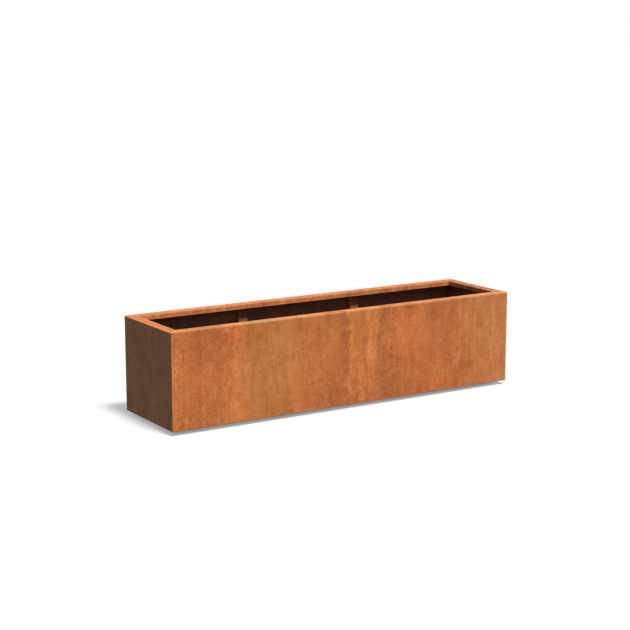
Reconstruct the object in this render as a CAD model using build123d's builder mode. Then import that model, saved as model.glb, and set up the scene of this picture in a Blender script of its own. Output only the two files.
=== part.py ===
from build123d import *
import os

# Long open-topped planter trough, folded and welded from weathering-steel sheet.
# X runs along the length (+X right), -Y is the front, +Z is up.  The origin is on
# the ground, under the middle of the trough.  All sizes are in millimetres.

# Outside of the box
length = 2000.0
width = 500.0
wall_height = 480.0          # from the folded bottom edge up to the top of the rim
ground_gap = 20.0            # the shadow gap that the feet leave under the walls

# The sheet that the box and its channels are folded from
sheet = 2.0
bend_radius = 1.5            # inside radius of every fold in that sheet

# Folds of each wall
rim_width = 50.0             # flat rim, folded inwards
lip_depth = 25.0             # return lip, folded down from the rim
ledge_width = 25.0           # ledge folded inwards at the bottom, which carries the base

# Base plate
base_edge_gap = 2.0          # from the plate's edge to the walls, past the folds
drain_radius = 10.0
drain_from_end = 158.0       # outermost drain hole, from the outside of the end wall
drain_from_stiffener = 181.0  # drain holes either side of each stiffener's centre

# Stiffening channels on the long walls, and the ribs across the floor between them
stiffener_offset = 341.0     # centre of each stiffener, from the middle of the trough
stiffener_width = 50.0
stiffener_depth = 18.0
rim_gap = 4.0                # upright pieces stop this far below the rim's underside
rib_width = 50.0
rib_height = 20.0
rib_end_gap = 1.0            # root gap for the weld between a rib and its stiffeners

# Angles inside the four upright corners
angle_leg = 40.0
angle_thickness = 3.0
angle_bend_radius = 2.0

# Cross ties, which stop the long walls from bulging
tie_drop = 160.0             # centre of the tie, below the top of the rim
tie_bar_height = 50.0
tie_thickness = 4.0
tie_bend_radius = 4.0
tie_tab_length = 40.0

# M8 bolts, washers and rivet nuts that hold the ties
bolt_pitch = 26.0            # upright distance between the two bolts of a tab
bolt_radius = 4.0
bolt_reach = 16.0            # length under the head
bolt_head_flats = 13.0
bolt_head_height = 5.3
bolt_head_chamfer = 0.6
washer_radius = 8.0
washer_thickness = 1.6
washer_clearance = 0.2       # washer bore over the bolt, on the radius
tab_hole_clearance = 0.5     # tab hole over the bolt, on the radius
nut_bore_clearance = 0.05    # rivet nut's thread over the bolt, on the radius
nut_body_radius = 5.5
nut_body_length = 12.0
nut_flange_radius = 6.5
nut_flange_thickness = 1.0
nut_hole_clearance = 0.1     # stiffener hole over the nut's body, on the radius

# Feet: short channels, web down, under the base plate
foot_length = 60.0           # along X
foot_width = 60.0            # along Y
foot_thickness = 3.0
foot_bend_radius = 2.0
foot_inset = 90.0            # from the outside of the walls to a foot's outer face

# Levels that follow from these sizes
rim_top = ground_gap + wall_height
rim_underside = rim_top - sheet
base_underside = ground_gap + sheet
base_top = base_underside + sheet
upright_top = rim_underside - rim_gap
upright_height = upright_top - base_top
tie_level = rim_top - tie_drop

# Distances from the middle that follow from these sizes
inner_half_length = length / 2 - sheet
inner_half_width = width / 2 - sheet
stiffener_face = inner_half_width - stiffener_depth
tab_outer_face = stiffener_face - nut_flange_thickness
tab_inner_face = tab_outer_face - tie_thickness
foot_x = length / 2 - foot_inset - foot_length / 2
foot_y = width / 2 - foot_inset - foot_width / 2

os.makedirs("parts", exist_ok=True)


def save(builder, name):
    """Label a finished piece and write it to its own file."""
    builder.part.label = name
    export_step(builder.part, f"parts/{name}.step")


# Walls: each is one sheet with its ledge, web, rim and lip folded in a C, and both
# ends mitred so that the four meet along the upright corners and across the rim.
def build_wall(name, inward, run, across):
    along = inward.cross(Vector(0, 0, 1))
    outer_face = inward * (-across / 2)
    with BuildPart() as wall:
        with BuildSketch(Plane(origin=outer_face, x_dir=inward, z_dir=along)):
            with BuildLine():
                FilletPolyline(
                    (ledge_width, ground_gap),
                    (0, ground_gap),
                    (0, rim_top),
                    (rim_width, rim_top),
                    (rim_width, rim_top - lip_depth),
                    radius=bend_radius + sheet,
                )
                offset(amount=sheet, side=Side.RIGHT)
            make_face()
        extrude(amount=run / 2, both=True)
        for end in (-1, 1):
            corner = outer_face + along * (end * run / 2)
            mitre = Plane(origin=corner, z_dir=inward + along * end)
            split(bisect_by=mitre, keep=Keep.BOTTOM)
    save(wall, name)


build_wall("front_wall", Vector(0, 1, 0), length, width)
build_wall("back_wall", Vector(0, -1, 0), length, width)
build_wall("left_end_wall", Vector(1, 0, 0), width, length)
build_wall("right_end_wall", Vector(-1, 0, 0), width, length)

# Base plate: a flat sheet laid on the four ledges, with drain holes along its middle
drain_places = [
    (hand * x, 0)
    for hand in (-1, 1)
    for x in (
        stiffener_offset - drain_from_stiffener,
        stiffener_offset + drain_from_stiffener,
        length / 2 - drain_from_end,
    )
]
with BuildPart() as base_plate:
    with BuildSketch(Plane.XY.offset(base_underside)):
        Rectangle(2 * (inner_half_length - base_edge_gap), 2 * (inner_half_width - base_edge_gap))
        with Locations(*drain_places):
            Circle(drain_radius, mode=Mode.SUBTRACT)
    extrude(amount=sheet)
save(base_plate, "base_plate")


# Channels: an open section, folded from sheet, with its two free edges on the sketch's
# X axis and its web the depth away from that axis.
def channel_section(across, depth, thickness, inside_radius):
    with BuildSketch() as section:
        with BuildLine():
            FilletPolyline(
                (-across / 2, 0),
                (-across / 2, depth),
                (across / 2, depth),
                (across / 2, 0),
                radius=inside_radius + thickness,
            )
            offset(amount=thickness, side=Side.RIGHT)
        make_face()
    return section.sketch


# Where the bolts go: planes on the inner faces of the tie tabs, facing into the trough
def tab_plane(x, side, level):
    return Plane(origin=(x, side * tab_inner_face, level), x_dir=(1, 0, 0), z_dir=(0, -side, 0))


bolt_levels = (tie_level - bolt_pitch / 2, tie_level + bolt_pitch / 2)
bolt_planes = [
    tab_plane(hand * stiffener_offset, side, level)
    for hand in (-1, 1)
    for side in (-1, 1)
    for level in bolt_levels
]


# Stiffeners: upright channels with their free edges welded to a long wall
def build_stiffener(name, x, side):
    foot_of_wall = Plane(
        origin=(x, side * inner_half_width, base_top), x_dir=(-side, 0, 0), z_dir=(0, 0, 1)
    )
    with BuildPart() as stiffener:
        with BuildSketch(foot_of_wall):
            add(channel_section(stiffener_width, stiffener_depth, sheet, bend_radius))
        extrude(amount=upright_height)
        for level in bolt_levels:
            with Locations(Plane(origin=(x, side * stiffener_face, level), z_dir=(0, -side, 0))):
                Hole(nut_body_radius + nut_hole_clearance, depth=sheet)
    save(stiffener, name)


build_stiffener("front_stiffener_left", -stiffener_offset, -1)
build_stiffener("front_stiffener_right", stiffener_offset, -1)
build_stiffener("back_stiffener_left", -stiffener_offset, 1)
build_stiffener("back_stiffener_right", stiffener_offset, 1)


# Floor ribs: channels, web up, across the base between each pair of stiffeners
def build_floor_rib(name, x):
    with BuildPart() as rib:
        with BuildSketch(Plane(origin=(x, 0, base_top), x_dir=(1, 0, 0), z_dir=(0, -1, 0))):
            add(channel_section(rib_width, rib_height, sheet, bend_radius))
        extrude(amount=stiffener_face - rib_end_gap, both=True)
    save(rib, name)


build_floor_rib("floor_rib_left", -stiffener_offset)
build_floor_rib("floor_rib_right", stiffener_offset)


# Corner angles: welded up the inside of each corner, over the seam of its two walls
def build_corner_angle(name, hand, side):
    corner = (hand * inner_half_length, side * inner_half_width, base_top)
    with BuildPart() as angle:
        with BuildSketch(Plane(origin=corner)):
            with BuildLine():
                FilletPolyline(
                    (-hand * angle_leg, 0),
                    (0, 0),
                    (0, -side * angle_leg),
                    radius=angle_bend_radius + angle_thickness,
                )
                offset(amount=angle_thickness, side=Side.RIGHT if hand * side > 0 else Side.LEFT)
            make_face()
        extrude(amount=upright_height)
    save(angle, name)


build_corner_angle("corner_angle_front_left", -1, -1)
build_corner_angle("corner_angle_front_right", 1, -1)
build_corner_angle("corner_angle_back_left", -1, 1)
build_corner_angle("corner_angle_back_right", 1, 1)


# Cross ties: a flat bar on edge, both ends bent into tabs that lie on the stiffeners
def build_cross_tie(name, hand):
    middle = Plane(
        origin=(hand * stiffener_offset, 0, tie_level - tie_bar_height / 2),
        x_dir=(0, 1, 0), z_dir=(0, 0, 1),
    )
    bar_outer = -hand * tie_tab_length / 2
    with BuildPart() as tie:
        with BuildSketch(middle):
            with BuildLine():
                FilletPolyline(
                    (-tab_outer_face, -bar_outer),
                    (-tab_outer_face, bar_outer),
                    (tab_outer_face, bar_outer),
                    (tab_outer_face, -bar_outer),
                    radius=tie_bend_radius + tie_thickness,
                )
                offset(amount=tie_thickness, side=Side.LEFT if bar_outer < 0 else Side.RIGHT)
            make_face()
        extrude(amount=tie_bar_height)
        for plane in bolt_planes:
            if plane.origin.X * hand > 0:
                with Locations(plane):
                    Hole(bolt_radius + tab_hole_clearance, depth=tie_thickness)
    save(tie, name)


build_cross_tie("cross_tie_left", -1)
build_cross_tie("cross_tie_right", 1)

# Tie bolts: hexagon heads on washers, threaded through the tabs into the rivet nuts
with BuildPart() as tie_bolts:
    for plane in bolt_planes:
        under_head = plane.offset(washer_thickness)
        with BuildSketch(under_head):
            RegularPolygon(bolt_head_flats / 2, side_count=6, major_radius=False)
        extrude(amount=bolt_head_height)
        head_top = faces(Select.LAST).sort_by(Axis(plane.origin, plane.z_dir))[-1]
        chamfer(head_top.edges(), length=bolt_head_chamfer)
        with BuildSketch(under_head):
            Circle(bolt_radius)
        extrude(amount=-bolt_reach)
save(tie_bolts, "tie_bolts")

with BuildPart() as tie_washers:
    for plane in bolt_planes:
        with BuildSketch(plane):
            Circle(washer_radius)
            Circle(bolt_radius + washer_clearance, mode=Mode.SUBTRACT)
        extrude(amount=washer_thickness)
save(tie_washers, "tie_washers")

# Rivet nuts: set in the stiffeners, with a thin flange under each tab
with BuildPart() as tie_rivet_nuts:
    for plane in bolt_planes:
        under_tab = plane.offset(-tie_thickness)
        with BuildSketch(under_tab):
            Circle(nut_flange_radius)
            Circle(bolt_radius + nut_bore_clearance, mode=Mode.SUBTRACT)
        extrude(amount=-nut_flange_thickness)
        with BuildSketch(under_tab.offset(-nut_flange_thickness)):
            Circle(nut_body_radius)
            Circle(bolt_radius + nut_bore_clearance, mode=Mode.SUBTRACT)
        extrude(amount=-nut_body_length)
save(tie_rivet_nuts, "tie_rivet_nuts")


# Feet: under the base near each corner, and under the ends of the floor ribs
def build_foot(name, x, side):
    under_base = Plane(
        origin=(x, side * foot_y, base_underside), x_dir=(1, 0, 0), z_dir=(0, 1, 0)
    )
    with BuildPart() as foot:
        with BuildSketch(under_base):
            add(channel_section(foot_length, base_underside, foot_thickness, foot_bend_radius))
        extrude(amount=foot_width / 2, both=True)
    save(foot, name)


foot_stations = (-foot_x, -stiffener_offset, stiffener_offset, foot_x)
for number, x in enumerate(foot_stations, start=1):
    build_foot(f"front_foot_{number}", x, -1)
    build_foot(f"back_foot_{number}", x, 1)
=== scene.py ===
import math

import bmesh
import bpy
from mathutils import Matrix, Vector


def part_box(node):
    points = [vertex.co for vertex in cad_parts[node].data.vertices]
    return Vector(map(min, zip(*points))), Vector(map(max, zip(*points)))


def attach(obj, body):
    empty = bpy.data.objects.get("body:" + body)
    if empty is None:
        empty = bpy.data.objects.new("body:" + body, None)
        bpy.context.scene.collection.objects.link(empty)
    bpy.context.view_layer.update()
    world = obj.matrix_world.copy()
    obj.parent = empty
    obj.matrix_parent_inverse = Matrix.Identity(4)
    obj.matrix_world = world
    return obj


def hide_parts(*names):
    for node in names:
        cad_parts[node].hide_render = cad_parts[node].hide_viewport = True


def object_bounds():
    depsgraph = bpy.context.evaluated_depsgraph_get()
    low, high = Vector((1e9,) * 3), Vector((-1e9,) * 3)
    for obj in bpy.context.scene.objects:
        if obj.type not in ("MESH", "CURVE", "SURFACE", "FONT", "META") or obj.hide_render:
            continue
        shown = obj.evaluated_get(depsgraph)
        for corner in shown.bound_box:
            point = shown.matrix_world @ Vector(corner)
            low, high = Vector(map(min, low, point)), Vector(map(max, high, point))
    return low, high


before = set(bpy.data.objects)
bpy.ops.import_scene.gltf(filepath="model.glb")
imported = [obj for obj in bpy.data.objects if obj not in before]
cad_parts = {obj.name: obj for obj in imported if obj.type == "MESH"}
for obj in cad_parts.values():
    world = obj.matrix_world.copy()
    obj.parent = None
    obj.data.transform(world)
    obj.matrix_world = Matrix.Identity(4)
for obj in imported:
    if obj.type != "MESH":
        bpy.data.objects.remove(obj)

cad_low, cad_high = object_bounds()


# ---------------------------------------------------------------------------------------
# Walls.  Four sheets of 2 mm weathering steel, each folded on a press brake into a ledge,
# a tall web, a flat rim and a return lip.  Their mitred ends are welded up the corners and
# across the rim, and the outside of each weld is ground flush before the steel rusts.
# ---------------------------------------------------------------------------------------
SHEET = 0.002
FOLD_RADIUS = 0.0015          # inside radius of a fold in the sheet
RIM_WIDTH = 0.050
LIP_DEPTH = 0.025
LEDGE_WIDTH = 0.025
CORNER_ROUND = 0.0022         # radius ground on the outside of a welded corner
CUT_BEVEL = 0.0003            # the burr dressed off a sheared edge
FOLD_STEPS = 7                # facets round one fold
CORNER_STEPS = 5              # facets round a ground corner
WEAR_AND_HIGHLIGHT_REACH = 0.007            # how far the rubbed colour, partly a painted highlight, spreads from a fold or an edge
SMOOTH_BELOW = 40.0           # degrees; a sharper edge is drawn as a crease
CUT_EDGE = 60.0               # degrees; only the edges of a sheared end are sharper

RED_RUST = (0.453, 0.137, 0.030)
ORANGE_RUST = (0.475, 0.148, 0.032)
TAN_RUST = (0.457, 0.151, 0.036)
DARK_SCALE = (0.190, 0.055, 0.016)
LOOSE_RUST = (0.660, 0.270, 0.080)
RUBBED_STEEL_AND_HIGHLIGHT = (0.600, 0.235, 0.080)
GROUND_WELD = (0.380, 0.116, 0.032)
# painted shade: the colour of the inside faces of the walls
INSIDE_SHADE_RUST = (0.195, 0.094, 0.044)
RIM_SHADE_TINT = (0.75, 0.72, 0.62)      # painted shade: a tint that tones down the sunlit flat of the rim
FADING = (0.83, 1.25, 2.80)          # how fast red, green and blue fade as the rust darkens


def bent_path(corners, thickness, inside_radius):
    """Stations down a sheet that bends right at each corner: (point, normal, worn, inset)."""
    outside_radius = inside_radius + thickness
    stations = []
    for k, (start, stop) in enumerate(zip(corners, corners[1:])):
        along = (stop - start).normalized()
        normal = Vector((-along.y, along.x))
        last = k == len(corners) - 2
        if k == 0:
            stations.append((start, normal, 1.0, CUT_BEVEL))
        begin = start + along * (CUT_BEVEL if k == 0 else outside_radius)
        end = stop - along * (CUT_BEVEL if last else outside_radius)
        stations.append((begin, normal, 1.0, 0.0))
        if (end - begin).length > 3 * WEAR_AND_HIGHLIGHT_REACH:
            stations.append((begin + along * WEAR_AND_HIGHLIGHT_REACH, normal, 0.0, 0.0))
            stations.append((end - along * WEAR_AND_HIGHLIGHT_REACH, normal, 0.0, 0.0))
        stations.append((end, normal, 1.0, 0.0))
        if last:
            stations.append((stop, normal, 1.0, CUT_BEVEL))
            break
        centre = end - normal * outside_radius
        for step in range(1, FOLD_STEPS):
            turn = math.pi / 2 * step / FOLD_STEPS
            spoke = normal * math.cos(turn) + along * math.sin(turn)
            stations.append((centre + spoke * outside_radius, spoke, 1.0, 0.0))
    return stations


def sweep_sheet(name, stations, thickness, columns, dressed_ends=False):
    """A closed mesh of a bent sheet.  Each column is (place, worn, welded), where place puts
    a point of the section in the planter.  The marks that it paints say how rubbed, welded
    or inside the steel is at each point.  The rubbed mark also carries a painted highlight,
    and the inside mark carries painted shade."""
    skin = [(p - n * inset, wear_and_highlight, 0.0) for p, n, wear_and_highlight, inset in stations]
    skin += [(p - n * (thickness - inset), wear_and_highlight, 1.0) for p, n, wear_and_highlight, inset in reversed(stations)]
    mesh = bmesh.new()
    marks = {key: mesh.verts.layers.float.new(key) for key in ("wear_and_highlight", "welded", "inside_shade")}
    rows = []
    for place, wear_and_highlight_here, welded_here in columns:
        row = []
        for point, wear_and_highlight, shaded in skin:
            vert = mesh.verts.new(place(point))
            vert[marks["wear_and_highlight"]] = max(wear_and_highlight, wear_and_highlight_here)
            vert[marks["welded"]] = welded_here
            vert[marks["inside_shade"]] = shaded
            row.append(vert)
        rows.append(row)
    count = len(skin)
    for near, far in zip(rows, rows[1:]):
        for i in range(count):
            mesh.faces.new((near[i], near[(i + 1) % count], far[(i + 1) % count], far[i]))
    ends = []
    for cap in (rows[0], rows[-1]):
        for i in range(len(stations) - 1):
            ends.append(mesh.faces.new((cap[i], cap[i + 1], cap[count - 2 - i], cap[count - 1 - i])))
    if dressed_ends:
        bmesh.ops.recalc_face_normals(mesh, faces=mesh.faces)
        sharp = math.radians(CUT_EDGE)
        cuts = {edge for face in ends for edge in face.edges if edge.calc_face_angle() > sharp}
        bmesh.ops.bevel(mesh, geom=list(cuts), offset=CUT_BEVEL, segments=1, affect="EDGES")
    return finish_mesh(name, mesh)


def finish_mesh(name, mesh):
    """Turn a bmesh into an object, smooth but for its creases."""
    crease = math.radians(SMOOTH_BELOW)
    bmesh.ops.recalc_face_normals(mesh, faces=mesh.faces)
    for face in mesh.faces:
        face.smooth = True
    for edge in mesh.edges:
        edge.smooth = len(edge.link_faces) == 2 and edge.calc_face_angle() < crease
    data = bpy.data.meshes.new(name)
    mesh.to_mesh(data)
    mesh.free()
    piece = bpy.data.objects.new(name, data)
    bpy.context.scene.collection.objects.link(piece)
    return piece


def node(tree, kind, inputs=(), **settings):
    """Add a node; inputs maps a socket's name or number to a value or to another socket."""
    made = tree.nodes.new(kind)
    for key, value in settings.items():
        setattr(made, key, value)
    for key, value in dict(inputs).items():
        if isinstance(value, bpy.types.NodeSocket):
            tree.links.new(value, made.inputs[key])
        else:
            made.inputs[key].default_value = value
    return made


def maths(tree, operation, *values, clamp=False):
    made = node(tree, "ShaderNodeMath", enumerate(values), operation=operation, use_clamp=clamp)
    return made.outputs[0]


def weigh(tree, level, parts):
    """The level, plus each part's departure from a half times its weight."""
    total = level - sum(weight for _, weight in parts) / 2
    for part, weight in parts:
        total = maths(tree, "MULTIPLY_ADD", part, weight, total)
    return total


def ramp(tree, factor, stops, interpolation="LINEAR"):
    """A colour ramp over a factor; stops are (place, colour), or (place, grey level)."""
    made = node(tree, "ShaderNodeValToRGB", {"Fac": factor})
    made.color_ramp.interpolation = interpolation
    elements = made.color_ramp.elements
    elements[-1].position = stops[-1][0]
    elements[0].position = stops[0][0]
    for place, _ in stops[1:-1]:
        elements.new(place)
    for element, (_, colour) in zip(elements, stops):
        element.color = (*colour, 1) if isinstance(colour, tuple) else (colour,) * 3 + (1,)
    return made.outputs["Color"]


def blend(tree, factor, a, b, mode="MIX"):
    made = tree.nodes.new("ShaderNodeMix")
    made.data_type = "RGBA"
    made.blend_type = mode
    for socket, value in ((made.inputs[0], factor), (made.inputs[6], a), (made.inputs[7], b)):
        if isinstance(value, bpy.types.NodeSocket):
            tree.links.new(value, socket)
        else:
            socket.default_value = (*value, 1) if isinstance(value, tuple) else value
    return made.outputs[2]


def stretched_noise(tree, where, stretch, shift, detail, roughness=0.6, distortion=0.0):
    """Noise with its own scale along each axis, in patterns to the metre."""
    laid = node(tree, "ShaderNodeMapping", {"Vector": where, "Scale": stretch, "Location": shift})
    made = node(tree, "ShaderNodeTexNoise", {
        "Vector": laid.outputs[0], "Scale": 1.0, "Detail": detail,
        "Roughness": roughness, "Distortion": distortion,
    })
    return made.outputs["Fac"]


def rust_noise(tree, shift):
    """Where a point is, and the noises that every rusted face shares, coarse to fine.  Each
    has its own count of patterns to the metre along X, Y and Z."""
    where = node(tree, "ShaderNodeTexCoord").outputs["Object"]
    blotch = stretched_noise(tree, where, (5.0, 5.0, 3.2), shift, 4.0, 0.55, 0.6)
    streaks = stretched_noise(tree, where, (34.0, 34.0, 2.4), shift, 5.0, 0.62, 0.35)
    mottle = stretched_noise(tree, where, (30.0, 30.0, 23.0), shift, 5.0, 0.62, 0.8)
    grain = stretched_noise(tree, where, (105.0, 105.0, 85.0), shift, 4.0, 0.75, 0.6)
    return where, blotch, streaks, mottle, grain


def freckles(tree, where, per_metre, reach, patches):
    """Specks of no regular shape, kept to the patches where that noise is high."""
    wobble = node(tree, "ShaderNodeTexNoise", {"Vector": where, "Scale": per_metre * 1.6}).outputs["Color"]
    moved = node(tree, "ShaderNodeVectorMath", {
        0: wobble, 1: (2.5 / per_metre,) * 3, 2: where,
    }, operation="MULTIPLY_ADD").outputs[0]
    cells = node(tree, "ShaderNodeTexVoronoi", {"Vector": moved, "Scale": per_metre})
    specks = ramp(tree, cells.outputs["Distance"], [(reach * 0.4, 1.0), (reach, 0.0)])
    return maths(tree, "MULTIPLY", specks, ramp(tree, patches, [(0.50, 0.0), (0.60, 1.0)]))


def mark(tree, name):
    return node(tree, "ShaderNodeAttribute", attribute_name=name).outputs["Fac"]


def deepen(tree, tone):
    """A tint from a tone about 1.  Dark rust is redder too, and pale rust is dustier."""
    levels = (0.5, 0.7, 0.85, 1.0, 1.15, 1.3, 1.5)
    stops = [(level / 2, tuple(level ** power for power in FADING)) for level in levels]
    return ramp(tree, maths(tree, "MULTIPLY", tone, 0.5), stops)


def outdoor_patina_and_shade(name, shift, bands=None, contrast=1.0, tint_and_shade=(1.0, 1.0, 1.0),
                   rim=RIM_SHADE_TINT, inside=INSIDE_SHADE_RUST):
    """Weathering steel rusted in the open: blotches and upright run-off, a mottled grain with
    dark and loose specks, rubbed folds that also carry a painted highlight, and a redder stripe
    over the ground welds.  Painted shade darkens the inside faces and tones down the flat of
    the rim, and on the end walls the tint is painted shade as well."""
    finish = bpy.data.materials.new(name)
    finish.use_nodes = True
    tree = finish.node_tree
    shader = tree.nodes["Principled BSDF"]
    where, blotch, streaks, mottle, grain = rust_noise(tree, shift)
    colour = ramp(tree, blotch, [
        (0.34, RED_RUST), (0.47, ORANGE_RUST), (0.55, ORANGE_RUST), (0.66, TAN_RUST),
    ])
    cloud = stretched_noise(tree, where, (13.0, 13.0, 8.0), shift, 3.0, 0.55, 0.8)
    rough_patch = stretched_noise(tree, where, (3.1, 3.1, 3.9), shift, 3.0, 0.5, 1.0)
    coarseness = ramp(tree, rough_patch, [(0.40, 0.65), (0.60, 1.40)])
    spot = node(tree, "ShaderNodeSeparateXYZ", {0: where})
    rise = maths(tree, "DIVIDE", spot.outputs["Z"], cad_high.z)
    if bands:
        upper, lower, grit = bands
        place = maths(tree, "MULTIPLY_ADD", spot.outputs["X"], 0.5 / cad_high.x, 0.5)
        wander = weigh(tree, 0.0, [(streaks, 0.04), (mottle, 0.035), (blotch, 0.08)])
        place = maths(tree, "ADD", place, wander)
        ragged = maths(tree, "ADD", rise, weigh(tree, 0.0, [(blotch, 0.8)]))
        ragged = ramp(tree, ragged, [(0.25, 0.0), (0.65, 1.0)], "EASE")
        tint = blend(tree, ragged, ramp(tree, place, lower, "EASE"), ramp(tree, place, upper, "EASE"))
        colour = blend(tree, 1.0, colour, tint, "MULTIPLY")
        coarseness = maths(tree, "MULTIPLY", coarseness, ramp(tree, place, grit))
    tone = weigh(tree, 1.0, [
        (streaks, 0.50 * contrast), (mottle, 0.56 * contrast),
        (cloud, 0.60 * contrast), (blotch, 0.40 * contrast),
    ])
    speckle = weigh(tree, 0.0, [(grain, 0.9 * contrast), (mottle, 0.45 * contrast)])
    tone = maths(tree, "MULTIPLY_ADD", speckle, coarseness, tone)
    # Darker towards the bottom, lightest a little above the middle, a little darker at the top.
    height_tone = ramp(tree, rise, [(0.0, 0.91), (0.30, 0.98), (0.55, 1.03), (0.97, 0.98)])
    colour = blend(tree, 1.0, colour, deepen(tree, maths(tree, "MULTIPLY", tone, height_tone)), "MULTIPLY")
    # A tint over the whole wall: the steel's own colour, and on the end walls painted shade.
    colour = blend(tree, 1.0, colour, tint_and_shade, "MULTIPLY")
    clustered = maths(tree, "MULTIPLY", mottle, maths(tree, "MULTIPLY_ADD", coarseness, 0.24, 0.80))
    pits = freckles(tree, where, 75.0, 0.46, clustered)
    flakes = freckles(tree, where, 120.0, 0.40, grain)
    colour = blend(tree, maths(tree, "MULTIPLY", pits, 0.60 * contrast), colour, DARK_SCALE)
    colour = blend(tree, maths(tree, "MULTIPLY", flakes, 0.45 * contrast), colour, LOOSE_RUST)
    # The flat of the rim takes the rim tint: painted shade on its sunlit top.
    rim_round = FOLD_RADIUS / cad_high.z
    on_rim = ramp(tree, rise, [(1 - rim_round, 0.0), (1 - 0.2 * rim_round, 1.0)])
    colour = blend(tree, on_rim, colour, blend(tree, 1.0, colour, rim, "MULTIPLY"))
    # Folds and edges are rubbed lighter: partly wear, partly a painted highlight.
    rubbed_and_highlit = maths(tree, "MULTIPLY", maths(tree, "POWER", mark(tree, "wear_and_highlight"), 2.0), mottle)
    colour = blend(tree, maths(tree, "MULTIPLY", rubbed_and_highlit, 0.70), colour, RUBBED_STEEL_AND_HIGHLIGHT)
    colour = blend(tree, maths(tree, "MULTIPLY", mark(tree, "welded"), 0.30), colour, GROUND_WELD)
    # The inside faces of the sheet take the dark inside colour: painted shade.
    patchy = weigh(tree, 1.0, [(blotch, 1.3), (streaks, 0.7), (mottle, 0.9)])
    inner_shade_colour = blend(tree, 1.0, inside, patchy, "MULTIPLY")
    colour = blend(tree, maths(tree, "MULTIPLY", mark(tree, "inside_shade"), 0.80), colour, inner_shade_colour)
    tree.links.new(colour, shader.inputs["Base Color"])
    tree.links.new(ramp(tree, mottle, [(0.36, 0.62), (0.62, 0.82)]), shader.inputs["Roughness"])
    shader.inputs["Diffuse Roughness"].default_value = 1.0
    relief = weigh(tree, 0.5, [(grain, 0.7), (mottle, 0.4), (pits, -0.35), (flakes, 0.3)])
    bump = node(tree, "ShaderNodeBump", {"Height": relief, "Strength": 0.4, "Distance": 0.0012})
    tree.links.new(bump.outputs[0], shader.inputs["Normal"])
    return finish


def build_wall(node_name, inward, finish):
    """Fold one wall to the size of its CAD sheet, and mitre its ends."""
    low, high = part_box(node_name)
    along = Vector((inward.y, -inward.x, 0.0))
    run = abs((high - low).dot(along))
    outer = Vector((low.x if inward.x > 0 else high.x, low.y if inward.y > 0 else high.y, 0.0))
    outer_face = inward * outer.dot(inward)

    def place_at(from_mitre, end):
        def place(point):
            depth, past = point.x, point.x + from_mitre
            # A point near both outside faces is pulled in to the ground round.
            if depth < CORNER_ROUND and past < CORNER_ROUND:
                spoke = Vector((CORNER_ROUND - depth, CORNER_ROUND - past))
                if spoke.length > CORNER_ROUND:
                    spoke = spoke.normalized() * CORNER_ROUND
                depth, past = CORNER_ROUND - spoke.x, CORNER_ROUND - spoke.y
            spot = outer_face + inward * depth + along * (end * (run / 2 - past))
            return Vector((spot.x, spot.y, point.y))
        return place

    section = bent_path([
        Vector((LEDGE_WIDTH, low.z)),
        Vector((0.0, low.z)),
        Vector((0.0, high.z)),
        Vector((RIM_WIDTH, high.z)),
        Vector((RIM_WIDTH, high.z - LIP_DEPTH)),
    ], SHEET, FOLD_RADIUS)
    steps = [(CORNER_ROUND * k / CORNER_STEPS, 1.0, 1.0) for k in range(CORNER_STEPS + 1)]
    steps.append((2 * WEAR_AND_HIGHLIGHT_REACH, 0.0, 0.0))
    columns = [(place_at(step, -1), wear_and_highlight, welded) for step, wear_and_highlight, welded in steps]
    columns += [(place_at(step, 1), wear_and_highlight, welded) for step, wear_and_highlight, welded in reversed(steps)]
    wall = sweep_sheet(node_name + "_sheet", section, SHEET, columns)
    wall.data.materials.append(finish)
    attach(wall, "root")
    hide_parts(node_name)


# Tints for how rain has run down the front sheet.
FRESH = (1.10, 1.03, 0.98)
SETTLED = (0.99, 0.97, 0.95)
RED_RUN = (0.91, 0.83, 0.77)
DARK_RUN = (0.82, 0.74, 0.68)
OCHRE_RUN = (1.15, 1.25, 0.92)
WASHED = (1.17, 1.19, 1.15)
GREY_FILM = (0.94, 1.01, 1.05)
SANDY = (1.00, 1.09, 1.21)

# Where each tint lies along the sheet, from its left end at 0 to its right end at 1, in the
# upper and the lower half.  GRIT is how coarse the grain is along it.
UPPER_RUNS = [
    (0.00, FRESH), (0.08, RED_RUN), (0.13, RED_RUN), (0.18, FRESH), (0.21, GREY_FILM),
    (0.30, GREY_FILM), (0.36, SETTLED), (0.45, SETTLED), (0.49, DARK_RUN), (0.505, OCHRE_RUN),
    (0.525, SETTLED), (0.56, WASHED), (0.58, WASHED), (0.595, DARK_RUN), (0.65, FRESH),
    (0.72, FRESH), (0.75, RED_RUN), (0.81, RED_RUN), (0.85, SANDY), (1.00, SANDY),
]
LOWER_RUNS = [
    (0.00, FRESH), (0.08, RED_RUN), (0.13, SETTLED), (0.18, WASHED), (0.22, GREY_FILM),
    (0.30, GREY_FILM), (0.335, WASHED), (0.37, SETTLED), (0.43, RED_RUN), (0.48, DARK_RUN),
    (0.52, SETTLED), (0.565, FRESH), (0.60, DARK_RUN), (0.66, RED_RUN), (0.78, FRESH),
    (0.83, RED_RUN), (0.875, SANDY), (0.925, SETTLED), (1.00, SANDY),
]
GRIT = [
    (0.00, 1.25), (0.17, 1.30), (0.23, 0.65), (0.33, 0.90), (0.80, 1.00), (0.86, 0.50), (1.00, 0.60),
]

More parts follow.
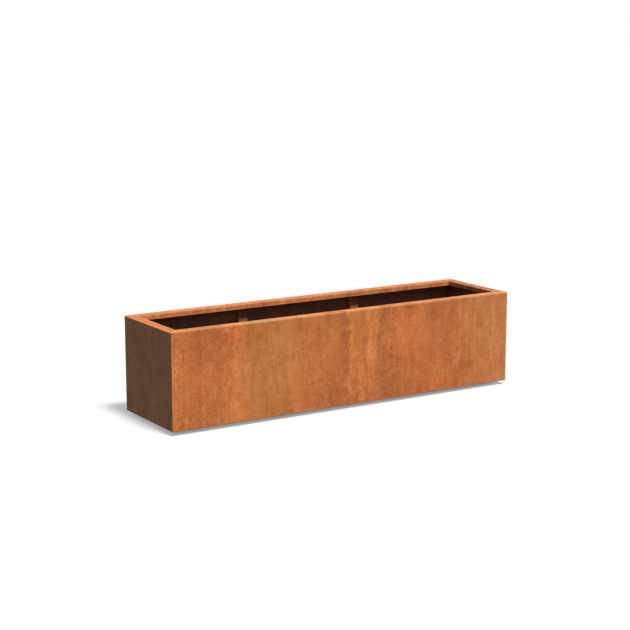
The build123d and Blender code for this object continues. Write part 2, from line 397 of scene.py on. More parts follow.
# Each rim tint is painted shade on that wall's sunlit rim.  The end walls' tints are painted shade, and so
# is the very dark inside of the right end; the back's tint is its own colour.
front_patina_and_shade = outdoor_patina_and_shade(
    "front_patina_and_shade", (2.7, 0.4, 6.3), (UPPER_RUNS, LOWER_RUNS, GRIT), rim=(0.76, 0.89, 1.15))
back_patina_and_shade = outdoor_patina_and_shade(
    "back_patina_and_shade", (5.5, 5.2, 1.7), contrast=1.5, tint_and_shade=(0.94, 0.93, 0.87),
    rim=(0.80, 0.77, 0.59))
left_end_patina_and_shade = outdoor_patina_and_shade(
    "left_end_patina_and_shade", (7.3, 2.9, 4.1), contrast=1.35, tint_and_shade=(0.92, 1.06, 1.33),
    rim=(0.72, 0.60, 0.48))
right_end_patina_and_shade = outdoor_patina_and_shade(
    "right_end_patina_and_shade", (1.9, 8.4, 2.6), contrast=1.4, tint_and_shade=(0.98, 0.92, 0.55),
    rim=(0.61, 0.67, 1.32), inside=(0.076, 0.046, 0.010))

build_wall("front_wall", Vector((0, 1, 0)), front_patina_and_shade)
build_wall("back_wall", Vector((0, -1, 0)), back_patina_and_shade)
build_wall("left_end_wall", Vector((1, 0, 0)), left_end_patina_and_shade)
build_wall("right_end_wall", Vector((-1, 0, 0)), right_end_patina_and_shade)


# ---------------------------------------------------------------------------------------
# Corner angles.  A folded steel angle stands in each inside corner, from the floor plate
# to just under the rim, and ties the two walls together.  Short stitches of weld hold the
# edge of each leg to its wall, and one more closes each mitre under the rim.
# ---------------------------------------------------------------------------------------
ANGLE_THICKNESS = 0.003
ANGLE_FOLD_RADIUS = 0.002
STITCH_PITCH = 0.110
STITCH_LENGTH = 0.034
BEAD_RADIUS = 0.0024
BEAD_SINK = 0.45 * BEAD_RADIUS     # how far off each of its two faces a bead's middle stands
BEAD_RIPPLE = 0.13                 # how much thinner every other ring of a bead is
BEAD_RINGS = 17
BEAD_SIDES = 8
BEAD_STRETCH = (0.86, 1.12)        # the shortest and longest bead, against the usual one
END_GAP = 0.56                     # from a seam's end to a bead's middle, in bead lengths
MITRE_STITCH_PITCH = 0.030
MITRE_STITCH_LENGTH = 0.024

# Inner colours, kept darker than the outdoor rust as painted shade.
INNER_DARK = (0.150, 0.058, 0.026)
INNER_BROWN = (0.260, 0.094, 0.034)
INNER_ORANGE = (0.400, 0.138, 0.040)
WELD_BROWN = (0.165, 0.060, 0.030)
WELD_ORANGE = (0.400, 0.135, 0.042)
HEAT_BLUE = (0.075, 0.066, 0.072)


def inner_patina_and_shade(name, shift, tint_and_shade=(1.0, 1.0, 1.0), stains=None):
    """Steel inside the box: thinner, browner rust with mill scale left in patches, all of it
    kept darker than the rust outside as painted shade.  stains may add to the colour, given
    the tree and the place."""
    finish = bpy.data.materials.new(name)
    finish.use_nodes = True
    tree = finish.node_tree
    shader = tree.nodes["Principled BSDF"]
    where, blotch, streaks, mottle, grain = rust_noise(tree, shift)
    patchy = weigh(tree, 0.5, [(blotch, 0.8), (mottle, 0.5), (streaks, 0.3)])
    colour = ramp(tree, patchy, [(0.32, INNER_DARK), (0.48, INNER_BROWN), (0.66, INNER_ORANGE)])
    if stains:
        colour = stains(tree, where, colour)
    tone = weigh(tree, 1.0, [(streaks, 0.4), (grain, 0.9)])
    colour = blend(tree, 1.0, blend(tree, 1.0, colour, tone, "MULTIPLY"), tint_and_shade, "MULTIPLY")
    pits = freckles(tree, where, 110.0, 0.40, mottle)
    colour = blend(tree, maths(tree, "MULTIPLY", pits, 0.5), colour, DARK_SCALE)
    # Folds and edges are rubbed lighter: partly wear, partly a painted highlight.
    rubbed_and_highlit = maths(tree, "MULTIPLY", maths(tree, "POWER", mark(tree, "wear_and_highlight"), 2.0), mottle)
    colour = blend(tree, maths(tree, "MULTIPLY", rubbed_and_highlit, 0.8), colour, ORANGE_RUST)
    tree.links.new(colour, shader.inputs["Base Color"])
    tree.links.new(ramp(tree, patchy, [(0.36, 0.52), (0.60, 0.78)]), shader.inputs["Roughness"])
    shader.inputs["Diffuse Roughness"].default_value = 0.8
    relief = weigh(tree, 0.5, [(grain, 0.7), (mottle, 0.4), (pits, -0.4)])
    bump = node(tree, "ShaderNodeBump", {"Height": relief, "Strength": 0.35, "Distance": 0.001})
    tree.links.new(bump.outputs[0], shader.inputs["Normal"])
    return finish


def weld_metal(name):
    """A bead as laid: rippled, rusted in patches, with heat tint left in others."""
    finish = bpy.data.materials.new(name)
    finish.use_nodes = True
    tree = finish.node_tree
    shader = tree.nodes["Principled BSDF"]
    _, blotch, _, mottle, grain = rust_noise(tree, (6.6, 2.2, 8.1))
    patchy = weigh(tree, 0.5, [(grain, 0.9), (mottle, 0.7), (blotch, 0.3)])
    colour = ramp(tree, patchy, [(0.34, HEAT_BLUE), (0.46, WELD_BROWN), (0.62, WELD_ORANGE)])
    tree.links.new(colour, shader.inputs["Base Color"])
    tree.links.new(ramp(tree, patchy, [(0.34, 0.42), (0.60, 0.75)]), shader.inputs["Roughness"])
    shader.inputs["Metallic"].default_value = 0.25
    bump = node(tree, "ShaderNodeBump", {"Height": grain, "Strength": 0.5, "Distance": 0.0006})
    tree.links.new(bump.outputs[0], shader.inputs["Normal"])
    return finish


def new_geometry_tree(name, sizes, source="Geometry"):
    """An empty geometry tree with named float inputs, a whole-number seed and a material."""
    tree = bpy.data.node_groups.new(name, "GeometryNodeTree")
    face = tree.interface
    face.new_socket(source, in_out="INPUT", socket_type="NodeSocketGeometry")
    for size in sizes:
        face.new_socket(size, in_out="INPUT", socket_type="NodeSocketFloat")
    face.new_socket("Seed", in_out="INPUT", socket_type="NodeSocketInt")
    face.new_socket("Finish", in_out="INPUT", socket_type="NodeSocketMaterial")
    face.new_socket("Geometry", in_out="OUTPUT", socket_type="NodeSocketGeometry")
    return tree, node(tree, "NodeGroupInput").outputs


def close_geometry_tree(tree, instances, given, crease=0.6):
    """Every tree ends here: real faces, smooth but for creases, with the finish set.  crease
    is in radians."""
    real = node(tree, "GeometryNodeRealizeInstances", {"Geometry": instances}).outputs[0]
    bent = node(tree, "GeometryNodeInputMeshEdgeAngle").outputs["Unsigned Angle"]
    soft = maths(tree, "LESS_THAN", bent, crease)
    round_off = {"Geometry": real, "Shade Smooth": soft}
    smooth = node(tree, "GeometryNodeSetShadeSmooth", round_off, domain="EDGE").outputs[0]
    painted = node(tree, "GeometryNodeSetMaterial", {"Geometry": smooth, "Material": given["Finish"]})
    node(tree, "NodeGroupOutput", {"Geometry": painted.outputs[0]})
    return tree


def grow(name, tree, points, edges, values):
    """Run a geometry tree on points and edges, and keep the result as a plain mesh."""
    seed = bpy.data.meshes.new(name + "_layout")
    seed.from_pydata([tuple(point) for point in points], edges, [])
    holder = bpy.data.objects.new(name + "_layout", seed)
    bpy.context.scene.collection.objects.link(holder)
    modifier = holder.modifiers.new("grow", "NODES")
    modifier.node_group = tree
    for item in tree.interface.items_tree:
        if item.in_out == "INPUT" and item.name in values:
            modifier[item.identifier] = values[item.name]
    evaluated = holder.evaluated_get(bpy.context.evaluated_depsgraph_get())
    mesh = bpy.data.meshes.new_from_object(evaluated)
    mesh.name = name
    holder.modifiers.remove(modifier)
    bpy.data.objects.remove(holder)
    bpy.data.meshes.remove(seed)
    piece = bpy.data.objects.new(name, mesh)
    bpy.context.scene.collection.objects.link(piece)
    return piece


def stitch_weld_tree():
    """Rippled beads, set out at a pitch along each seam."""
    sizes = ("Pitch", "Bead Length", "Bead Radius", "Ripple")
    tree, given = new_geometry_tree("stitch_welds", sizes, "Seams")
    seams = node(tree, "GeometryNodeMeshToCurve", {"Mesh": given["Seams"]}).outputs[0]
    spread = {"Curve": seams, "Length": given["Pitch"]}
    spots = node(tree, "GeometryNodeCurveToPoints", spread, mode="LENGTH")
    reach = maths(tree, "MULTIPLY", given["Bead Length"], 0.5)
    tail = node(tree, "ShaderNodeCombineXYZ", {"Z": maths(tree, "MULTIPLY", reach, -1.0)}).outputs[0]
    tip = node(tree, "ShaderNodeCombineXYZ", {"Z": reach}).outputs[0]
    line = node(tree, "GeometryNodeCurvePrimitiveLine", {"Start": tail, "End": tip}).outputs[0]
    spine = node(tree, "GeometryNodeResampleCurve", {"Curve": line, "Count": BEAD_RINGS})
    along = node(tree, "GeometryNodeSplineParameter")
    from_middle = maths(tree, "MULTIPLY_ADD", along.outputs["Factor"], 2.0, -1.0)
    taper = maths(tree, "SUBTRACT", 1.02, maths(tree, "POWER", maths(tree, "ABSOLUTE", from_middle), 5.0))
    taper = maths(tree, "POWER", taper, 0.45)
    hollow = maths(tree, "MULTIPLY", maths(tree, "MODULO", along.outputs["Index"], 2.0), given["Ripple"])
    girth = maths(tree, "MULTIPLY", taper, maths(tree, "SUBTRACT", 1.0, hollow))
    ring_size = {"Resolution": BEAD_SIDES, "Radius": given["Bead Radius"]}
    hoop = node(tree, "GeometryNodeCurvePrimitiveCircle", ring_size).outputs[0]
    bead = node(tree, "GeometryNodeCurveToMesh", {
        "Curve": spine.outputs[0], "Profile Curve": hoop, "Scale": girth, "Fill Caps": True,
    }).outputs[0]
    shortest, longest = BEAD_STRETCH
    stretch = node(tree, "FunctionNodeRandomValue", {2: shortest, 3: longest, "Seed": given["Seed"]})
    laid = node(tree, "GeometryNodeInstanceOnPoints", {
        "Points": spots.outputs["Points"], "Instance": bead, "Rotation": spots.outputs["Rotation"],
        "Scale": node(tree, "ShaderNodeCombineXYZ", {0: 1.0, 1: 1.0, 2: stretch.outputs[1]}).outputs[0],
    })
    return close_geometry_tree(tree, laid.outputs[0], given, crease=1.2)


stitches = stitch_weld_tree()
bead_finish = weld_metal("weld_metal")


def lay_welds(name, seams, seed, length=STITCH_LENGTH, pitch=STITCH_PITCH):
    """Stitch along each seam, given as its two ends."""
    points, edges = [], []
    for start, stop in seams:
        inset = (stop - start).normalized() * length * END_GAP
        edges.append((len(points), len(points) + 1))
        points += [start + inset, stop - inset]
    beads = grow(name, stitches, points, edges, {
        "Pitch": pitch, "Bead Length": length, "Bead Radius": BEAD_RADIUS, "Ripple": BEAD_RIPPLE,
        "Seed": seed, "Finish": bead_finish,
    })
    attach(beads, "root")


def upright(point, z):
    """Put a point of a section seen from above at a height."""
    return Vector((point.x, point.y, z))


def run_profile(node_name, kind, section, thickness, start, stop, finish, place=upright):
    """Sweep a section from start to stop, up or across, as the piece for a CAD node."""
    columns = [(lambda point, at=at: place(point, at), wear_and_highlight, 0.0) for at, wear_and_highlight in (
        (start, 1.0), (start + WEAR_AND_HIGHLIGHT_REACH, 0.0), (stop - WEAR_AND_HIGHLIGHT_REACH, 0.0), (stop, 1.0),
    )]
    piece = sweep_sheet(f"{node_name}_{kind}", section, thickness, columns, dressed_ends=True)
    piece.data.materials.append(finish)
    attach(piece, "root")
    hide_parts(node_name)


# The corner angles' dark cast is painted shade in the inside corners.
angle_shaded_finish = inner_patina_and_shade("angle_patina_shaded", (2.2, 6.1, 3.3), tint_and_shade=(0.48, 0.60, 0.52))
angle_seams = []
mitre_seams = []
for end_name, end in (("left", -1), ("right", 1)):
    for side_name, side in (("front", -1), ("back", 1)):
        node_name = f"corner_angle_{side_name}_{end_name}"
        low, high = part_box(node_name)
        corner = Vector((high.x if end > 0 else low.x, high.y if side > 0 else low.y))
        along_wall = Vector((low.x if end > 0 else high.x, corner.y))
        along_end = Vector((corner.x, low.y if side > 0 else high.y))
        legs = [along_wall, corner, along_end]
        if end * side < 0:
            legs.reverse()
        section = bent_path(legs, ANGLE_THICKNESS, ANGLE_FOLD_RADIUS)
        run_profile(node_name, "fold", section, ANGLE_THICKNESS, low.z, high.z, angle_shaded_finish)
        for toe in (along_wall, along_end):
            middle = toe - Vector((end, side)) * BEAD_SINK
            angle_seams.append((upright(middle, low.z), upright(middle, high.z)))
        under_rim = cad_high.z - SHEET - BEAD_SINK
        inner_corner = upright(corner, under_rim)
        rim_corner = inner_corner - Vector((end, side, 0)) * (RIM_WIDTH - 2 * SHEET)
        mitre_seams.append((inner_corner, rim_corner))
lay_welds("corner_angle_welds", angle_seams, seed=3)
lay_welds("rim_mitre_welds", mitre_seams, seed=11, length=MITRE_STITCH_LENGTH, pitch=MITRE_STITCH_PITCH)


# ---------------------------------------------------------------------------------------
# Floor plate.  One flat 2 mm plate with six punched drain holes lies on the ledges of the
# walls.  It is stitched to the walls above and to the ledges below, and water and soil
# have stained it round the holes.
# ---------------------------------------------------------------------------------------
DRAIN_PLACES = (0.160, 0.522, 0.842)     # from the middle, the same at both ends
TIDE_REACH = 0.085                       # how far the stain spreads from a hole
PLATE_CORNER_GAP = 0.050                 # the plate's welds stop this far short of a corner
PLATE_STITCH_PITCH = 0.140

WET_STAIN = (0.060, 0.030, 0.018)
TIDE_LINE = (0.430, 0.250, 0.130)


def drain_stains(tree, where, colour):
    """Darken the steel round each drain hole, with a faint tide line where the pool dried."""
    spot = node(tree, "ShaderNodeSeparateXYZ", {0: where})
    from_middle = maths(tree, "ABSOLUTE", spot.outputs["X"])
    nearest = 1.0
    for drain in DRAIN_PLACES:
        offset = maths(tree, "SUBTRACT", from_middle, drain)
        squared = maths(tree, "MULTIPLY", offset, offset)
        squared = maths(tree, "MULTIPLY_ADD", spot.outputs["Y"], spot.outputs["Y"], squared)
        nearest = maths(tree, "MINIMUM", maths(tree, "SQRT", squared), nearest)
    spread = maths(tree, "DIVIDE", nearest, TIDE_REACH)
    ragged = stretched_noise(tree, where, (11.0, 11.0, 11.0), (1.3, 4.6, 0.0), 4.0, 0.5, 0.4)
    spread = maths(tree, "ADD", spread, weigh(tree, 0.0, [(ragged, 1.8)]))
    pool = ramp(tree, spread, [(0.10, 0.70), (0.60, 0.38), (1.05, 0.0)], "EASE")
    tide = ramp(tree, spread, [(0.80, 0.0), (0.95, 0.15), (1.10, 0.0)], "EASE")
    colour = blend(tree, pool, colour, WET_STAIN)
    return blend(tree, tide, colour, TIDE_LINE)


floor_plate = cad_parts["base_plate"]
floor_plate.data.materials.clear()
floor_plate.data.materials.append(
    inner_patina_and_shade("floor_plate_patina_shaded", (5.7, 4.4, 0.9), stains=drain_stains))
plate_low, plate_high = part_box("base_plate")
wall_face = Vector((cad_high.x - SHEET, cad_high.y - SHEET))
rib_box = {name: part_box("floor_rib_" + name) for name in ("left", "right")}
plate_seams = []
for side in (-1, 1):
    y = side * (plate_high.y + BEAD_SINK)
    z = plate_high.z + BEAD_SINK / 2
    stops = [PLATE_CORNER_GAP - wall_face.x, rib_box["left"][0].x, rib_box["left"][1].x,
             rib_box["right"][0].x, rib_box["right"][1].x, wall_face.x - PLATE_CORNER_GAP]
    for start, stop in zip(stops[::2], stops[1::2]):
        plate_seams.append((Vector((start, y, z)), Vector((stop, y, z))))
    x = side * (plate_high.x + BEAD_SINK)
    end_reach = wall_face.y - PLATE_CORNER_GAP
    plate_seams.append((Vector((x, -end_reach, z)), Vector((x, end_reach, z))))
    under = plate_low.z - BEAD_SINK
    ledge_y = side * (cad_high.y - LEDGE_WIDTH - BEAD_SINK)
    ledge_x = side * (cad_high.x - LEDGE_WIDTH - BEAD_SINK)
    reach = Vector((cad_high.x - PLATE_CORNER_GAP, cad_high.y - PLATE_CORNER_GAP))
    plate_seams.append((Vector((-reach.x, ledge_y, under)), Vector((reach.x, ledge_y, under))))
    plate_seams.append((Vector((ledge_x, -reach.y, under)), Vector((ledge_x, reach.y, under))))
lay_welds("floor_plate_welds", plate_seams, seed=5, pitch=PLATE_STITCH_PITCH)


# ---------------------------------------------------------------------------------------
# Stiffeners and floor ribs.  Four folded channels stand against the long walls, and an
# upturned channel crosses the floor between each pair, so that wet soil can't bulge the
# box.  Stitches of weld run down both sides of each.
# ---------------------------------------------------------------------------------------
def across(point, y):
    """Put a point of a section seen from the front at a place across the planter."""
    return Vector((point.x, y, point.y))


channel_finish = inner_patina_and_shade("channel_patina_shaded", (8.8, 0.7, 5.5))
stiffener_seams = []
rib_seams = []
for end_name in ("left", "right"):
    for side_name, side in (("front", -1), ("back", 1)):
        node_name = f"{side_name}_stiffener_{end_name}"
        low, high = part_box(node_name)
        wall_y, face_y = (high.y, low.y) if side > 0 else (low.y, high.y)
        legs = [Vector((low.x, wall_y)), Vector((low.x, face_y)),
                Vector((high.x, face_y)), Vector((high.x, wall_y))]
        if side > 0:
            legs.reverse()
        section = bent_path(legs, SHEET, FOLD_RADIUS)
        run_profile(node_name, "fold", section, SHEET, low.z, high.z, channel_finish)
        for x, outward in ((low.x, -1), (high.x, 1)):
            toe = Vector((x + outward * BEAD_SINK, wall_y - side * BEAD_SINK))
            stiffener_seams.append((upright(toe, low.z), upright(toe, high.z)))

    node_name = "floor_rib_" + end_name
    low, high = rib_box[end_name]
    section = bent_path([
        Vector((low.x, low.z)), Vector((low.x, high.z)),
        Vector((high.x, high.z)), Vector((high.x, low.z)),
    ], SHEET, FOLD_RADIUS)
    run_profile(node_name, "fold", section, SHEET, low.y, high.y, channel_finish, across)
    for x, outward in ((low.x, -1), (high.x, 1)):
        toe = Vector((x + outward * BEAD_SINK, 0, low.z + BEAD_SINK))
        rib_seams.append((toe + Vector((0, low.y, 0)), toe + Vector((0, high.y, 0))))
lay_welds("stiffener_welds", stiffener_seams, seed=17)
lay_welds("floor_rib_welds", rib_seams, seed=23)


# ---------------------------------------------------------------------------------------
# Cross ties.  A 50 by 4 mm flat bar on edge holds the long walls together at each pair of
# stiffeners.  Its ends are bent round into tabs that lie on the stiffeners.
# ---------------------------------------------------------------------------------------
TIE_THICKNESS = 0.004
TIE_FOLD_RADIUS = 0.004

tie_finish = inner_patina_and_shade("tie_patina_shaded", (0.4, 7.7, 6.2))
for end_name, end in (("left", -1), ("right", 1)):
    node_name = "cross_tie_" + end_name
    low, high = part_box(node_name)
    tab_x, bar_x = (low.x, high.x) if end < 0 else (high.x, low.x)
    legs = [Vector((tab_x, high.y)), Vector((bar_x, high.y)),
            Vector((bar_x, low.y)), Vector((tab_x, low.y))]
    if end > 0:
        legs.reverse()
    section = bent_path(legs, TIE_THICKNESS, TIE_FOLD_RADIUS)
    run_profile(node_name, "bar", section, TIE_THICKNESS, low.z, high.z, tie_finish)


# ---------------------------------------------------------------------------------------
# Tie bolts.  Two M8 hexagon bolts with flat washers hold each tab, screwed into flanged
# rivet nuts that are pulled up in the stiffener's face.  All of them are zinc plated.
# ---------------------------------------------------------------------------------------
BOLT_PITCH = 0.026
BOLT_RADIUS = 0.004
BOLT_REACH = 0.016
HEAD_FLATS = 0.013
HEAD_HEIGHT = 0.0053
WASHER_RADIUS = 0.008
WASHER_BORE = 0.0042
WASHER_THICKNESS = 0.0016
NUT_FLANGE_RADIUS = 0.0065
NUT_FLANGE_THICKNESS = 0.001
NUT_BARREL_RADIUS = 0.0055
NUT_BARREL_LENGTH = 0.012
NUT_BORE = 0.00405
CROWN_SHARE = 0.475           # radius of a head's flat crown, as a share of its width over flats
CONE_PAST_HEAD = 0.2          # how far the turning cone runs past both ends, in head heights
EDGE_BREAK = 0.12             # how much of a ring's thickness its broken edges take
ROUND_SIDES = 40

ZINC_PALE = (0.560, 0.555, 0.535)
ZINC_DULL = (0.330, 0.330, 0.325)
RUST_BLEED = (0.300, 0.110, 0.040)


def zinc_plate(name):
    """Bright zinc gone dull, with white bloom and a little rust bled from the steel round it."""
    finish = bpy.data.materials.new(name)
    finish.use_nodes = True
    tree = finish.node_tree
    shader = tree.nodes["Principled BSDF"]
    where = node(tree, "ShaderNodeTexCoord").outputs["Object"]
    bloom = stretched_noise(tree, where, (260.0,) * 3, (1.0, 2.0, 3.0), 4.0, 0.7)
    spangle = stretched_noise(tree, where, (900.0,) * 3, (4.0, 1.0, 7.0), 3.0, 0.6)
    patchy = weigh(tree, 0.5, [(bloom, 0.9), (spangle, 0.4)])
    colour = ramp(tree, patchy, [(0.36, ZINC_DULL), (0.58, ZINC_PALE)])
    bled = ramp(tree, bloom, [(0.52, 0.0), (0.66, 0.85)])
    colour = blend(tree, bled, colour, RUST_BLEED)
    tree.links.new(colour, shader.inputs["Base Color"])
    tree.links.new(maths(tree, "SUBTRACT", 0.85, bled), shader.inputs["Metallic"])
    tree.links.new(ramp(tree, patchy, [(0.38, 0.34), (0.62, 0.62)]), shader.inputs["Roughness"])
    bump = node(tree, "ShaderNodeBump", {"Height": spangle, "Strength": 0.25, "Distance": 0.0002})
    tree.links.new(bump.outputs[0], shader.inputs["Normal"])
    return finish


def ring(tree, outer, bore, start, thickness):
    """A washer-like ring on the Z axis from start upwards, its edges broken."""
    width = maths(tree, "SUBTRACT", outer, bore)
    middle = maths(tree, "MULTIPLY", maths(tree, "ADD", outer, bore), 0.5)
    hoop_size = {"Resolution": ROUND_SIDES, "Radius": middle}
    hoop = node(tree, "GeometryNodeCurvePrimitiveCircle", hoop_size).outputs[0]
    block_size = {"Width": width, "Height": thickness}
    block = node(tree, "GeometryNodeCurvePrimitiveQuadrilateral", block_size).outputs[0]
    broken = node(tree, "GeometryNodeFilletCurve", {
        "Curve": block, "Radius": maths(tree, "MULTIPLY", thickness, EDGE_BREAK),
    }).outputs[0]
    swept = node(tree, "GeometryNodeCurveToMesh", {"Curve": hoop, "Profile Curve": broken}).outputs[0]
    rise = maths(tree, "MULTIPLY_ADD", thickness, 0.5, start)
    lift = node(tree, "ShaderNodeCombineXYZ", {"Z": rise}).outputs[0]
    return node(tree, "GeometryNodeTransform", {"Geometry": swept, "Translation": lift}).outputs[0]


def facing_inwards(tree, spots, fastener):
    """Put a fastener made on +Z at each spot, turned to face the middle of the planter."""
    spot = node(tree, "GeometryNodeInputPosition").outputs[0]
    side = maths(tree, "SIGN", node(tree, "ShaderNodeSeparateXYZ", {0: spot}).outputs["Y"])
    inwards = node(tree, "ShaderNodeCombineXYZ", {"Y": maths(tree, "MULTIPLY", side, -1.0)}).outputs[0]
    turned = node(tree, "FunctionNodeAlignRotationToVector", {"Vector": inwards}, axis="Z").outputs[0]
    points = node(tree, "GeometryNodeMeshToPoints", {"Mesh": spots}).outputs[0]
    placing = {"Points": points, "Instance": fastener, "Rotation": turned}
    return node(tree, "GeometryNodeInstanceOnPoints", placing).outputs[0]


def ring_tree(name, rings):
    """Rings stacked on one axis; each ring is the names of its outer, bore, start, thickness."""
    sizes = dict.fromkeys(size for ring_sizes in rings for size in ring_sizes)
    tree, given = new_geometry_tree(name, sizes, "Spots")
    joined = node(tree, "GeometryNodeJoinGeometry")
    for sizes_of_ring in rings:
        made = ring(tree, *(given[size] for size in sizes_of_ring))
        tree.links.new(made, joined.inputs[0])
    return close_geometry_tree(tree, facing_inwards(tree, given["Spots"], joined.outputs[0]), given)


def bolt_tree():
    """A hexagon bolt: a head with its corners turned off, on a plain shank."""
    sizes = ("Head Flats", "Head Height", "Shank Radius", "Reach")
    tree, given = new_geometry_tree("tie_bolt", sizes, "Spots")
    corner_radius = maths(tree, "DIVIDE", given["Head Flats"], math.sqrt(3))
    blank_size = {"Vertices": 6, "Radius": corner_radius, "Depth": given["Head Height"]}
    blank = node(tree, "GeometryNodeMeshCylinder", blank_size).outputs[0]
    crown = maths(tree, "MULTIPLY", given["Head Flats"], CROWN_SHARE)
    slope = math.sqrt(3)                   # the corners are turned off at 30 degrees
    tip = maths(tree, "MULTIPLY_ADD", given["Head Height"], -CONE_PAST_HEAD * slope, crown)
    skirt = maths(tree, "MULTIPLY_ADD", given["Head Height"], (1 + CONE_PAST_HEAD) * slope, crown)
    turned_off = node(tree, "GeometryNodeMeshCone", {
        "Vertices": ROUND_SIDES, "Radius Top": tip, "Radius Bottom": skirt,
        "Depth": maths(tree, "MULTIPLY", given["Head Height"], 1 + 2 * CONE_PAST_HEAD),
    }).outputs[0]
    cone_foot = maths(tree, "MULTIPLY", given["Head Height"], -0.5 - CONE_PAST_HEAD)
    drop = node(tree, "ShaderNodeCombineXYZ", {"Z": cone_foot}).outputs[0]
    turned_off = node(tree, "GeometryNodeTransform", {"Geometry": turned_off, "Translation": drop})
    head = node(tree, "GeometryNodeMeshBoolean", operation="INTERSECT")
    tree.links.new(blank, head.inputs[1])
    tree.links.new(turned_off.outputs[0], head.inputs[1])
    half_head = maths(tree, "MULTIPLY", given["Head Height"], 0.5)
    rise = node(tree, "ShaderNodeCombineXYZ", {"Z": half_head}).outputs[0]
    head = node(tree, "GeometryNodeTransform", {"Geometry": head.outputs[0], "Translation": rise})
    foot = node(tree, "ShaderNodeCombineXYZ", {"Z": maths(tree, "MULTIPLY", given["Reach"], -1.0)})
    line = node(tree, "GeometryNodeCurvePrimitiveLine", {"End": foot.outputs[0]}).outputs[0]
    hoop_size = {"Resolution": ROUND_SIDES, "Radius": given["Shank Radius"]}
    hoop = node(tree, "GeometryNodeCurvePrimitiveCircle", hoop_size).outputs[0]
    swept = {"Curve": line, "Profile Curve": hoop, "Fill Caps": True}
    shank = node(tree, "GeometryNodeCurveToMesh", swept).outputs[0]
    bolt = node(tree, "GeometryNodeJoinGeometry")
    tree.links.new(head.outputs[0], bolt.inputs[0])
    tree.links.new(shank, bolt.inputs[0])
    return close_geometry_tree(tree, facing_inwards(tree, given["Spots"], bolt.outputs[0]), given)


def bolt_spots(from_middle):
    """The eight fastener axes, at a distance from the middle of the planter's width."""
    spots = []
    for end_name in ("left", "right"):
        tie_low, tie_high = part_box("cross_tie_" + end_name)
        channel_low, channel_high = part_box("back_stiffener_" + end_name)
        x = (channel_low.x + channel_high.x) / 2
        middle_z = (tie_low.z + tie_high.z) / 2
        for side in (-1, 1):
            for step in (-1, 1):
                spots.append(Vector((x, side * from_middle, middle_z + step * BOLT_PITCH / 2)))
    return spots


fastener_finish = zinc_plate("zinc_plate")
tab_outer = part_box("cross_tie_left")[1].y
tab_inner = tab_outer - TIE_THICKNESS
washer_tree = ring_tree("washer", [("Radius", "Bore", "Start", "Thickness")])
nut_tree = ring_tree("rivet_nut", [
    ("Flange Radius", "Bore", "Flange Start", "Flange Thickness"),
    ("Barrel Radius", "Bore", "Barrel Start", "Barrel Length"),
])
for name, tree, plane, values in (
    ("tie_bolts", bolt_tree(), tab_inner - WASHER_THICKNESS, {
        "Head Flats": HEAD_FLATS, "Head Height": HEAD_HEIGHT,
        "Shank Radius": BOLT_RADIUS, "Reach": BOLT_REACH,
    }),
    ("tie_washers", washer_tree, tab_inner, {
        "Radius": WASHER_RADIUS, "Bore": WASHER_BORE, "Start": 0.0, "Thickness": WASHER_THICKNESS,
    }),
    ("tie_rivet_nuts", nut_tree, tab_outer, {
        "Bore": NUT_BORE, "Flange Radius": NUT_FLANGE_RADIUS, "Flange Start": -NUT_FLANGE_THICKNESS,
        "Flange Thickness": NUT_FLANGE_THICKNESS, "Barrel Radius": NUT_BARREL_RADIUS,
        "Barrel Start": -NUT_BARREL_LENGTH - NUT_FLANGE_THICKNESS, "Barrel Length": NUT_BARREL_LENGTH,
    }),
):
    fasteners = grow(name + "_plated", tree, bolt_spots(plane), [], {**values, "Finish": fastener_finish})
    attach(fasteners, "root")
    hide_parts(name)


# ---------------------------------------------------------------------------------------
# Feet.  Eight short folded channels, open side up, are welded under the floor plate.  They
# hold the box off the ground so that it drains and a sling can pass under it.
# ---------------------------------------------------------------------------------------
FOOT_THICKNESS = 0.003
FOOT_FOLD_RADIUS = 0.002
FOOT_STITCH_PITCH = 0.050
FOOT_STITCH_LENGTH = 0.046

foot_finish = inner_patina_and_shade("foot_patina_shaded", (3.9, 9.2, 1.1))
foot_seams = []
for side_name, side in (("front", -1), ("back", 1)):
    for number in range(1, 5):
        node_name = f"{side_name}_foot_{number}"
        low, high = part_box(node_name)
        section = bent_path([
            Vector((high.x, high.z)), Vector((high.x, low.z)),
            Vector((low.x, low.z)), Vector((low.x, high.z)),
        ], FOOT_THICKNESS, FOOT_FOLD_RADIUS)
        run_profile(node_name, "fold", section, FOOT_THICKNESS, low.y, high.y, foot_finish, across)
        for x, outward in ((low.x, -1), (high.x, 1)):
            toe = Vector((x + outward * BEAD_SINK, 0, high.z - BEAD_SINK))
            foot_seams.append((toe + Vector((0, low.y, 0)), toe + Vector((0, high.y, 0))))
lay_welds("foot_welds", foot_seams, seed=29, length=FOOT_STITCH_LENGTH, pitch=FOOT_STITCH_PITCH)


# ---------------------------------------------------------------------------------------
# Ground, light and camera.  A plain pale floor that glows a little, with painted shade where
# its glow dims close under the planter, and a high soft sun in front of it and a pale sky.
# ---------------------------------------------------------------------------------------
FLOOR_SIZE = 80.0
FLOOR_PAINT = (0.27, 0.27, 0.272, 1)
FLOOR_GLOW = 0.42
UNDER_REACH = 0.12                    # how near the planter has to be for the painted shade to dim the floor's glow
SUN_FROM = Vector((0.064, -0.458, 1.0))
SUN_STRENGTH = 7.0
SUN_COLOUR = (1.0, 0.97, 0.92)
SUN_WIDTH = math.radians(12.0)        # how wide the sun looks, which softens its shadows
CAMERA_AIM = Vector((-0.209, -0.250, 0.502))
CAMERA_AZIMUTH = math.radians(-32.244)
CAMERA_ELEVATION = math.radians(11.06)
CAMERA_DISTANCE = 7.658
LENS_LENGTH = 89.15                   # millimetres, as is the sensor's width
SENSOR_WIDTH = 36.0

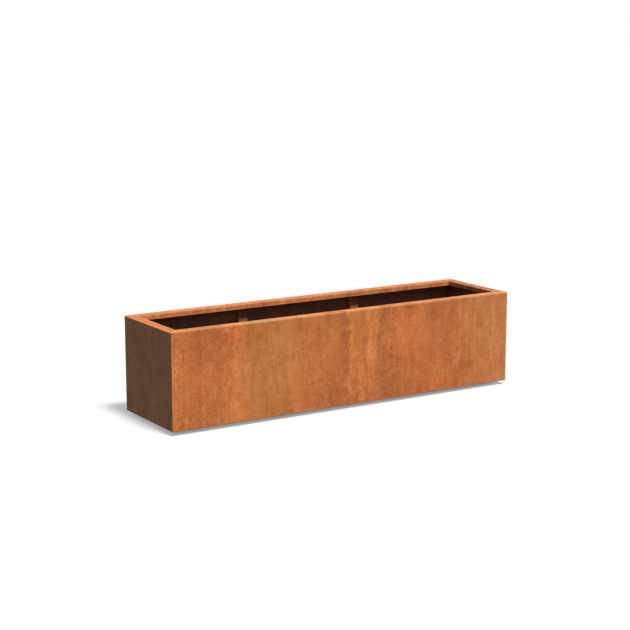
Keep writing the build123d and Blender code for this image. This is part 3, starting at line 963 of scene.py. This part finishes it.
floor_mesh = bmesh.new()
bmesh.ops.create_grid(floor_mesh, x_segments=1, y_segments=1, size=FLOOR_SIZE / 2)
floor = finish_mesh("floor", floor_mesh)
floor_paint = bpy.data.materials.new("floor_paint")
floor_paint.use_nodes = True
floor_tree = floor_paint.node_tree
floor_shader = floor_tree.nodes["Principled BSDF"]
floor_shader.inputs["Base Color"].default_value = FLOOR_PAINT
floor_shader.inputs["Roughness"].default_value = 1.0
floor_shader.inputs["Specular IOR Level"].default_value = 0.0
floor_shader.inputs["Emission Strength"].default_value = FLOOR_GLOW
# The floor's glow dims close to and under the planter: painted shade.
openness = node(floor_tree, "ShaderNodeAmbientOcclusion", {"Distance": UNDER_REACH}).outputs["AO"]
glow_and_shade = ramp(floor_tree, openness, [
    (0.0, (0.44, 0.42, 0.42)),
    (0.14, (0.92, 0.93, 0.95)),
    (0.90, (0.98, 1.00, 1.02)),
])
floor_tree.links.new(glow_and_shade, floor_shader.inputs["Emission Color"])
floor.data.materials.append(floor_paint)
floor.visible_diffuse = False
floor.visible_glossy = False

sun_light = bpy.data.lights.new("sun", "SUN")
sun_light.energy = SUN_STRENGTH
sun_light.color = SUN_COLOUR
sun_light.angle = SUN_WIDTH
sun = bpy.data.objects.new("sun", sun_light)
sun.rotation_mode = "QUATERNION"
sun.rotation_quaternion = SUN_FROM.to_track_quat("Z", "Y")
bpy.context.scene.collection.objects.link(sun)

# The sky lights the planter softly.  Gloss sees a plainer sky, and the camera sees white.
sky = bpy.data.worlds.new("sky")
sky.use_nodes = True
bpy.context.scene.world = sky
sky_tree = sky.node_tree
direction = node(sky_tree, "ShaderNodeTexCoord").outputs["Generated"]
height = node(sky_tree, "ShaderNodeSeparateXYZ", {0: direction}).outputs["Z"]
height = maths(sky_tree, "MULTIPLY_ADD", height, 0.5, 0.5)
sky_light = ramp(sky_tree, height, [
    (0.0, (0.10, 0.11, 0.12)),
    (0.49, (0.12, 0.14, 0.16)),
    (0.52, (0.20, 0.25, 0.30)),
    (1.0, (0.27, 0.34, 0.42)),
])
rays = node(sky_tree, "ShaderNodeLightPath")
gloss_light = ramp(sky_tree, height, [(0.49, 0.84), (0.51, 0.42)])
shown = blend(sky_tree, rays.outputs["Is Glossy Ray"], sky_light, gloss_light)
shown = blend(sky_tree, rays.outputs["Is Camera Ray"], shown, (1.0, 1.0, 1.0))
sky_tree.links.new(shown, sky_tree.nodes["Background"].inputs["Color"])

lens = bpy.data.cameras.new("camera")
lens.lens = LENS_LENGTH
lens.sensor_width = SENSOR_WIDTH
camera = bpy.data.objects.new("camera", lens)
back = Vector((
    math.sin(CAMERA_AZIMUTH) * math.cos(CAMERA_ELEVATION),
    -math.cos(CAMERA_AZIMUTH) * math.cos(CAMERA_ELEVATION),
    math.sin(CAMERA_ELEVATION),
))
camera.location = CAMERA_AIM + back * CAMERA_DISTANCE
camera.rotation_mode = "QUATERNION"
camera.rotation_quaternion = back.to_track_quat("Z", "Y")
bpy.context.scene.collection.objects.link(camera)
bpy.context.scene.camera = camera
bpy.context.scene.view_settings.view_transform = "Standard"
